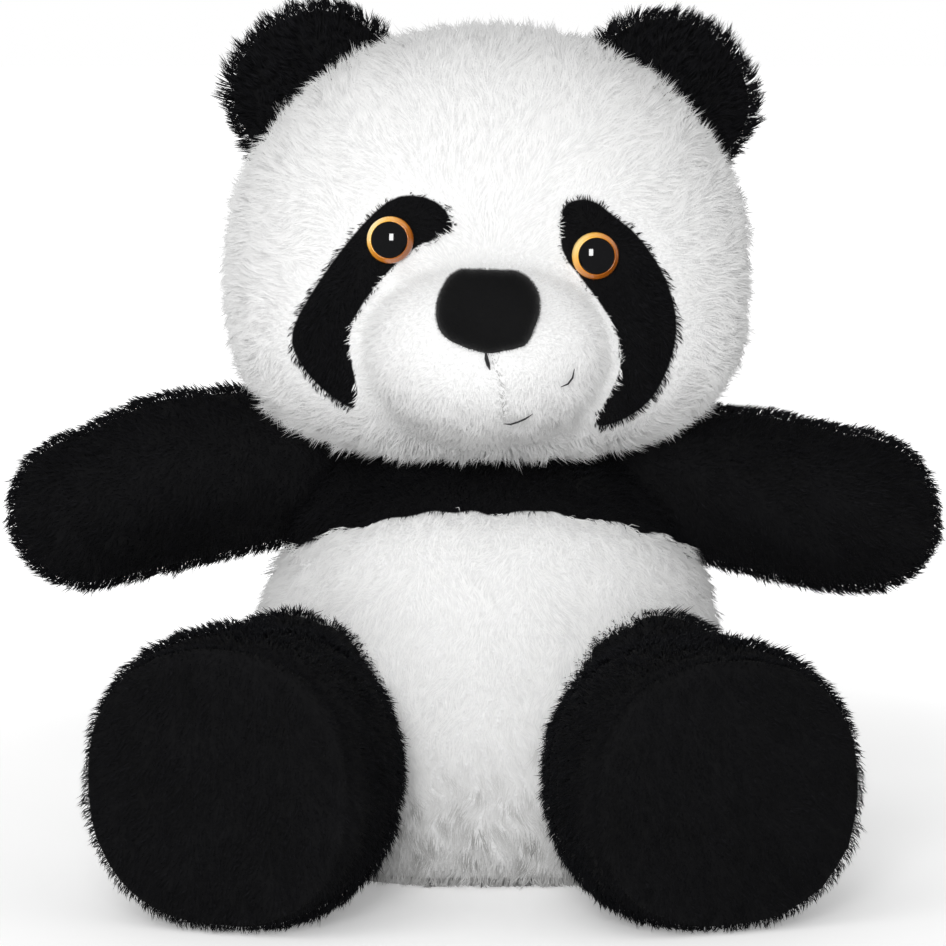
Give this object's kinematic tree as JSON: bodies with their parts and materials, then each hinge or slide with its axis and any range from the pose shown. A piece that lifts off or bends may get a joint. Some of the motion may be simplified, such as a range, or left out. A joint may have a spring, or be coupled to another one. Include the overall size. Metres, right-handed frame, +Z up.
{
  "type": "plush panda",
  "caption": "Seated stuffed panda toy with a soft furry head, flexible neck, arms, legs and ears that bend at their seams and spring back.",
  "frame": {"origin": "middle of the flat seat that the toy sits on, below the middle of the torso", "axes": "+Z up, -Y the way the toy faces, +X towards the toy's own left hand"},
  "size_m": [0.3398, 0.2124, 0.3133],
  "materials": {
    "white_plush": "long soft pile, matt",
    "black_plush": "dense short pile, matt",
    "nose_velour": "short velour, matt",
    "stuffing": "loose polyester fibre",
    "embroidery": "satin thread",
    "thread": "sewing thread",
    "bag_cloth": "plain weave",
    "pellets": "beads",
    "eye_amber": "clear amber over a painted back, polished",
    "eye_pupil": "polished",
    "washer": "as moulded"
  },
  "bodies": {
    "torso": {"torso_stuffing": "stuffing", "belly_panel": "white_plush", "chest_panel": "black_plush", "back_lower_right_panel": "white_plush", "back_lower_left_panel": "white_plush", "back_upper_right_panel": "black_plush", "back_upper_left_panel": "black_plush", "back_closing_thread": "thread", "seat_panel": "white_plush", "pellet_bag": "bag_cloth", "pellets": "pellets"},
    "neck_wad": {"neck_wad": "stuffing"},
    "neck_thread": {"neck_seam_thread": "thread"},
    "head": {"head_stuffing": "stuffing", "head_front_panel": "white_plush", "head_back_panel": "white_plush", "muzzle_stuffing": "stuffing", "muzzle_right_panel": "white_plush", "muzzle_left_panel": "white_plush", "nose_cover": "nose_velour", "nose_pad": "stuffing", "mouth_stitching": "embroidery", "right_eye_patch": "black_plush", "right_eye": "eye_amber", "right_eye_pupil": "eye_pupil", "right_eye_washer": "washer", "left_eye_patch": "black_plush", "left_eye": "eye_amber", "left_eye_pupil": "eye_pupil", "left_eye_washer": "washer"},
    "right_ear": {"right_ear_front_panel": "black_plush", "right_ear_back_panel": "black_plush", "right_ear_wadding": "stuffing"},
    "right_shoulder": {"right_shoulder_wad": "stuffing"},
    "right_arm": {"right_arm_stuffing": "stuffing", "right_arm_front_panel": "black_plush", "right_arm_back_panel": "black_plush"},
    "right_hip": {"right_hip_wad": "stuffing"},
    "right_leg": {"right_leg_stuffing": "stuffing", "right_leg_inner_panel": "black_plush", "right_leg_outer_panel": "black_plush", "right_sole_panel": "black_plush"},
    "left_ear": {"left_ear_front_panel": "black_plush", "left_ear_back_panel": "black_plush", "left_ear_wadding": "stuffing"},
    "left_shoulder": {"left_shoulder_wad": "stuffing"},
    "left_arm": {"left_arm_stuffing": "stuffing", "left_arm_front_panel": "black_plush", "left_arm_back_panel": "black_plush"},
    "left_hip": {"left_hip_wad": "stuffing"},
    "left_leg": {"left_leg_stuffing": "stuffing", "left_leg_inner_panel": "black_plush", "left_leg_outer_panel": "black_plush", "left_sole_panel": "black_plush"}
  },
  "joints": [
    {"name": "head_turn", "type": "hinge", "parent": "torso", "child": "neck_wad", "pos_m": [0.003, 0, 0.16], "axis": [0, 0, 1], "range_deg": [-30, 30], "stiffness_Nm_per_rad": 3},
    {"name": "head_tilt", "type": "hinge", "parent": "neck_wad", "child": "neck_thread", "pos_m": [0.003, 0, 0.16], "axis": [0, -1, 0], "range_deg": [-8, 8], "stiffness_Nm_per_rad": 3},
    {"name": "head_nod", "type": "hinge", "parent": "neck_thread", "child": "head", "pos_m": [0.003, 0, 0.16], "axis": [-1, 0, 0], "range_deg": [-14, 20], "stiffness_Nm_per_rad": 3},
    {"name": "right_ear_fold", "type": "hinge", "parent": "head", "child": "right_ear", "pos_m": [-0.05536, -0.002, 0.28086], "axis": [0.8201, 0, 0.5722], "range_deg": [-25, 15], "stiffness_Nm_per_rad": 0.08},
    {"name": "left_ear_fold", "type": "hinge", "parent": "head", "child": "left_ear", "pos_m": [0.06827, -0.002, 0.27792], "axis": [0.79, 0, -0.6131], "range_deg": [-25, 15], "stiffness_Nm_per_rad": 0.08},
    {"name": "right_arm_swing", "type": "hinge", "parent": "torso", "child": "right_shoulder", "pos_m": [-0.07, 0.008, 0.142], "axis": [0, 0, 1], "range_deg": [-20, 20], "stiffness_Nm_per_rad": 1},
    {"name": "right_arm_lift", "type": "hinge", "parent": "right_shoulder", "child": "right_arm", "pos_m": [-0.07, 0.008, 0.142], "axis": [0, 1, 0], "range_deg": [-5, 35], "stiffness_Nm_per_rad": 1},
    {"name": "left_arm_swing", "type": "hinge", "parent": "torso", "child": "left_shoulder", "pos_m": [0.07, 0.008, 0.142], "axis": [0, 0, -1], "range_deg": [-20, 20], "stiffness_Nm_per_rad": 1},
    {"name": "left_arm_lift", "type": "hinge", "parent": "left_shoulder", "child": "left_arm", "pos_m": [0.07, 0.008, 0.142], "axis": [0, -1, 0], "range_deg": [-5, 35], "stiffness_Nm_per_rad": 1},
    {"name": "right_leg_splay", "type": "hinge", "parent": "torso", "child": "right_hip", "pos_m": [-0.058, -0.058, 0.0485], "axis": [0, 0, -1], "range_deg": [-4, 18], "stiffness_Nm_per_rad": 1.5},
    {"name": "right_leg_lift", "type": "hinge", "parent": "right_hip", "child": "right_leg", "pos_m": [-0.058, -0.058, 0.0485], "axis": [-0.9397, 0.342, 0], "range_deg": [-28, 10], "stiffness_Nm_per_rad": 1.5},
    {"name": "left_leg_splay", "type": "hinge", "parent": "torso", "child": "left_hip", "pos_m": [0.058, -0.058, 0.0485], "axis": [0, 0, 1], "range_deg": [-4, 18], "stiffness_Nm_per_rad": 1.5},
    {"name": "left_leg_lift", "type": "hinge", "parent": "left_hip", "child": "left_leg", "pos_m": [0.058, -0.058, 0.0485], "axis": [-0.9397, -0.342, 0], "range_deg": [-28, 10], "stiffness_Nm_per_rad": 1.5}
  ]
}
